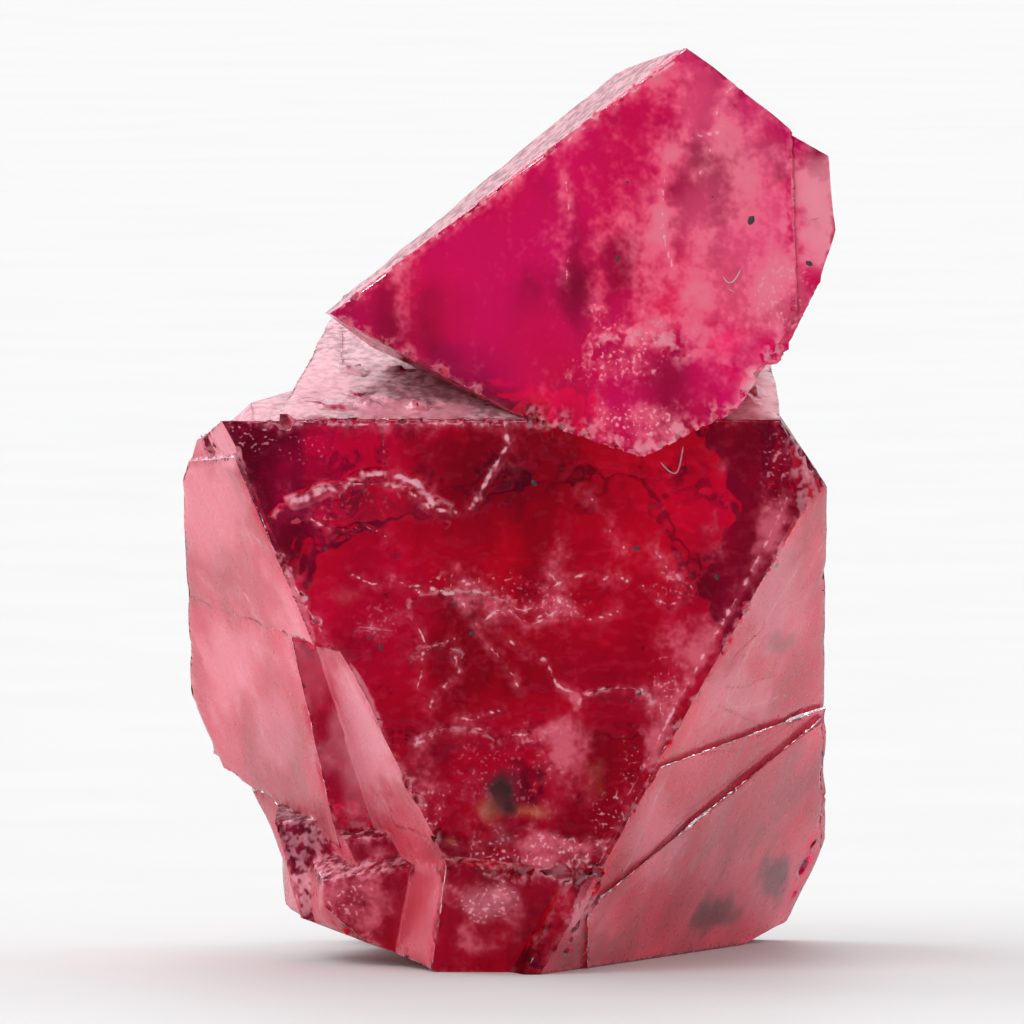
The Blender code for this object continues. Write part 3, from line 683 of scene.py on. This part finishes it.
def spinel_colour(web, mask):
    """The clear crystal's colour, with each look's own colour laid over it in turn."""
    light = mask["light"]
    # The clear body's painted shade and painted light: its darker and lighter copies, mixed by the light
    # layer.
    red = web.blend(light, *CLEAR_RED)
    magenta = web.blend(light, *CLEAR_MAGENTA)
    colour = web.blend(web.times(mask["hue"], 0.9), red, magenta)
    colour = web.blend(web.times(mask["frost"], 0.85), colour, FROST_PINK)
    # Painted sheen on the etched side faces: pale pink as a painted reflection, darker pink as painted shade
    # where the crystal is given less light.
    satin_and_sheen = web.blend(web.between(mask["veil"], -0.2, 1.0), *SATIN_AND_SHEEN_PINK)
    satin_and_sheen = web.blend(web.between(light, 0.45, 0.0, 0.0, 0.6), satin_and_sheen, SATIN_SHADE)
    colour = web.blend(web.times(mask["satin_and_sheen"], 0.85), colour, satin_and_sheen)
    # Painted pearly sheen on the shoulder and corner, mottled darker and lighter.
    shell = web.blend(web.between(mask["fine"], 0.35, 0.65), *PAINTED_SHEEN_PINK)
    colour = web.blend(mask["pearly"], colour, shell)
    # Laid over in turn: the pale patches as painted light, the whitish marks that are partly painted glints,
    # cracks, ochre and dark stains.
    for name, share, tint in (
        ("pale", 0.8, PAINTED_LIGHT_PINK), ("crack", 0.8, CRACK_RED), ("white_and_glint", 0.85, WHITE_AND_GLINT),
        ("ochre", 0.7, OCHRE_STAIN), ("dark", 1.0, DARK_STAIN),
    ):
        colour = web.blend(web.times(mask[name], share), colour, tint)
    return colour


def spinel():
    """Clear red spinel with veils in it, a painted sheen on its etched side faces and a painted pearly sheen
    on its shoulder.
    """
    web = Web("red_spinel")
    mask = spinel_masks(web)
    satin_and_sheen, pearly, frost, rough = (mask[name] for name in ("satin_and_sheen", "pearly", "frost", "rough"))
    opaque = web.with_shares(
        web.between(mask["light"], 0.5, 1.3, 0.02, 0.45),
        (frost, 0.6), (satin_and_sheen, 0.5), (pearly, 0.7), (mask["white_and_glint"], 0.7), (mask["pale"], 0.5),
        (mask["dark"], 0.9), (mask["ochre"], 0.8),
    )
    transmission = web.math("SUBTRACT", 0.84, opaque, clamp=True)
    roughness = web.with_shares(
        0.05, (satin_and_sheen, 0.20), (pearly, 0.22), (frost, 0.15), (mask["fine"], 0.06), (rough, 0.15)
    )
    depth = web.with_shares(0.010 * METRES, (rough, 0.03 * METRES), (satin_and_sheen, -0.006 * METRES))
    normal = web.bump(web.noise(0.16, 0.0, shift=7.0), depth)
    web.finish(spinel_colour(web, mask), roughness, transmission, normal)
    web.shader.inputs["IOR"].default_value = REFRACTION
    web.shader.inputs["Specular Tint"].default_value = REFLECTION_TINT
    absorb = web.add("ShaderNodeVolumeAbsorption")
    absorb.inputs["Color"].default_value = ABSORPTION_COLOUR
    absorb.inputs["Density"].default_value = ABSORPTION_DENSITY
    web.tree.links.new(absorb.outputs["Volume"], web.output.inputs["Volume"])
    return web.material


def small_piece(name, bm, material):
    """A piece from a bmesh in the crystal's own frame."""
    bm.transform(to_world())
    mesh = bpy.data.meshes.new(name)
    bm.to_mesh(mesh)
    bm.free()
    mesh.shade_smooth()
    mesh.materials.append(material)
    piece = bpy.data.objects.new(name, mesh)
    bpy.context.scene.collection.objects.link(piece)
    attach(piece, "root")
    return piece


def grain_mineral():
    """Near-black grains."""
    web = Web("dark_grains")
    colour = web.blend(web.noise(0.04, 3.0), *GRAIN_BLACK)
    web.finish(colour, 0.35, 0.0, web.bump(web.noise(0.02, 2.0), 0.004 * METRES))
    return web.material


def grains_piece(surface, rng):
    """The dark grains, each sunk to its middle in the surface."""
    bm = bmesh.new()
    for x, z, width in GRAINS:
        for from_behind in (False, True):
            place, normal = surface.at(-x if from_behind else x, z, from_behind)
            if place is None:
                continue
            ball = bmesh.ops.create_icosphere(bm, subdivisions=2, radius=width / 2)
            turn = Matrix.Rotation(rng.uniform(0, math.tau), 4, "Z")
            upright = normal.to_track_quat("Z", "Y").to_matrix().to_4x4()
            shaped = Matrix.Translation(place) @ upright @ turn @ Matrix.Diagonal((*GRAIN_SHAPE, 1))
            for v in ball["verts"]:
                v.co = shaped @ (v.co * rng.uniform(1 - GRAIN_UNEVENNESS, 1 + GRAIN_UNEVENNESS))
    return small_piece("dark_grains", bm, grain_mineral())


def fibre_material():
    """Pale dust that some light comes through."""
    web = Web("dust_fibre")
    colour = web.blend(web.noise(0.1, 3.0), *FIBRE_PINK)
    web.finish(colour, 0.6, 0.2, web.bump(web.noise(0.02, 2.0), 0.002 * METRES))
    return web.material


def fibres_piece(surface):
    """Dust fibres that lie on the faces, as thin tubes."""
    bm = bmesh.new()
    for points in FIBRES:
        rings = []
        for p in along(points, FIBRE_STEP):
            place, normal = surface.at(p.x, p.y)
            rings.append((place + normal * FIBRE_THICKNESS * FIBRE_LIFT, normal))
        loops = []
        for i, (centre, normal) in enumerate(rings):
            ahead = rings[min(i + 1, len(rings) - 1)][0] - rings[max(i - 1, 0)][0]
            across = ahead.normalized().cross(normal).normalized()
            taper = min(1.0, 0.4 + min(i, len(rings) - 1 - i) * 0.3)
            radius = FIBRE_THICKNESS / 2 * taper
            loops.append([
                bm.verts.new(centre + (across * math.cos(a) + normal * math.sin(a)) * radius)
                for a in (math.tau * k / FIBRE_SIDES for k in range(FIBRE_SIDES))
            ])
        for a, b in zip(loops, loops[1:]):
            for k in range(FIBRE_SIDES):
                after = (k + 1) % FIBRE_SIDES
                bm.faces.new((a[k], a[after], b[after], b[k]))
        bm.faces.new(loops[0][::-1])
        bm.faces.new(loops[-1])
    return small_piece("dust_fibres", bm, fibre_material())


def floor():
    """A wide pale floor."""
    bm = bmesh.new()
    bmesh.ops.create_grid(bm, x_segments=1, y_segments=1, size=FLOOR_HALF_WIDTH)
    mesh = bpy.data.meshes.new("floor")
    bm.to_mesh(mesh)
    bm.free()
    web = Web("pale_floor")
    colour = web.blend(web.noise(4.0, 1.0), *FLOOR_GREY)
    web.finish(colour, 0.6, 0.0, web.bump(web.noise(0.3, 0.0), 0.002 * METRES))
    mesh.materials.append(web.material)
    piece = bpy.data.objects.new("floor", mesh)
    bpy.context.scene.collection.objects.link(piece)


def sky():
    """Soft light from all round, brighter behind than in front, with a few wide soft lamps in it."""
    world = bpy.data.worlds.new("studio")
    bpy.context.scene.world = world
    world.use_nodes = True
    tree = world.node_tree
    background = tree.nodes["Background"]
    place = tree.nodes.new("ShaderNodeTexCoord")

    def towards(direction, low, high, dim, bright):
        """A strength that goes from dim to bright as the cosine off the direction goes from low to high."""
        dot = tree.nodes.new("ShaderNodeVectorMath")
        dot.operation = "DOT_PRODUCT"
        dot.inputs[1].default_value = Vector(direction).normalized()
        tree.links.new(place.outputs["Generated"], dot.inputs[0])
        rise = tree.nodes.new("ShaderNodeMapRange")
        rise.interpolation_type = "SMOOTHSTEP"
        for socket, value in zip(rise.inputs[1:5], (low, high, dim, bright)):
            socket.default_value = value
        tree.links.new(dot.outputs["Value"], rise.inputs[0])
        return rise.outputs[0]

    total = towards(SKY_AXIS, *SKY_FADE, SKY_FRONT, SKY_BEHIND)
    for direction, width_deg, strength in SKY_LAMPS:
        edge = math.cos(math.radians(width_deg))
        lamp = towards(direction, edge, (1 + edge) / 2, 0.0, strength)
        add = tree.nodes.new("ShaderNodeMath")
        tree.links.new(total, add.inputs[0])
        tree.links.new(lamp, add.inputs[1])
        total = add.outputs[0]
    tree.links.new(total, background.inputs["Strength"])
    background.inputs["Color"].default_value = SKY_COLOUR


def camera():
    """Looks at the large front face from a little above the floor."""
    data = bpy.data.cameras.new("camera")
    data.sensor_width = SENSOR_MM
    data.lens = SENSOR_MM * VIEW_DISTANCE / (IMAGE_WIDTH_MM * METRES)
    data.clip_start = 0.01
    data.clip_end = 20.0
    cam = bpy.data.objects.new("camera", data)
    bpy.context.scene.collection.objects.link(cam)
    elevation = math.radians(VIEW_ELEVATION_DEG)
    back = Vector((0, -math.cos(elevation), math.sin(elevation)))
    cam.location = VIEW_CENTRE * METRES + back * VIEW_DISTANCE
    cam.rotation_mode = "QUATERNION"
    cam.rotation_quaternion = (-back).to_track_quat("-Z", "Y")
    bpy.context.scene.camera = cam


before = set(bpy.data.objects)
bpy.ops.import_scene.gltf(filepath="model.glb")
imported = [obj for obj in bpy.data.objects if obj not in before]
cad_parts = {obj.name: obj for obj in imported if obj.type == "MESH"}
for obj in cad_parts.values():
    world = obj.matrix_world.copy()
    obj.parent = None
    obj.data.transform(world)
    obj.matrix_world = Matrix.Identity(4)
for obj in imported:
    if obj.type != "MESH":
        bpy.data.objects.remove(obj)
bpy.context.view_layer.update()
surface = Surface(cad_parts[CRYSTAL])
crystal = crystal_piece(surface)
crystal.data.materials.append(spinel())
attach(crystal, "root")
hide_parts(CRYSTAL)
grains_piece(surface, random.Random(5))
fibres_piece(surface)
floor()
sky()
bpy.context.scene.view_settings.view_transform = "Standard"
bpy.context.scene.cycles.max_bounces = LIGHT_BOUNCES
camera()
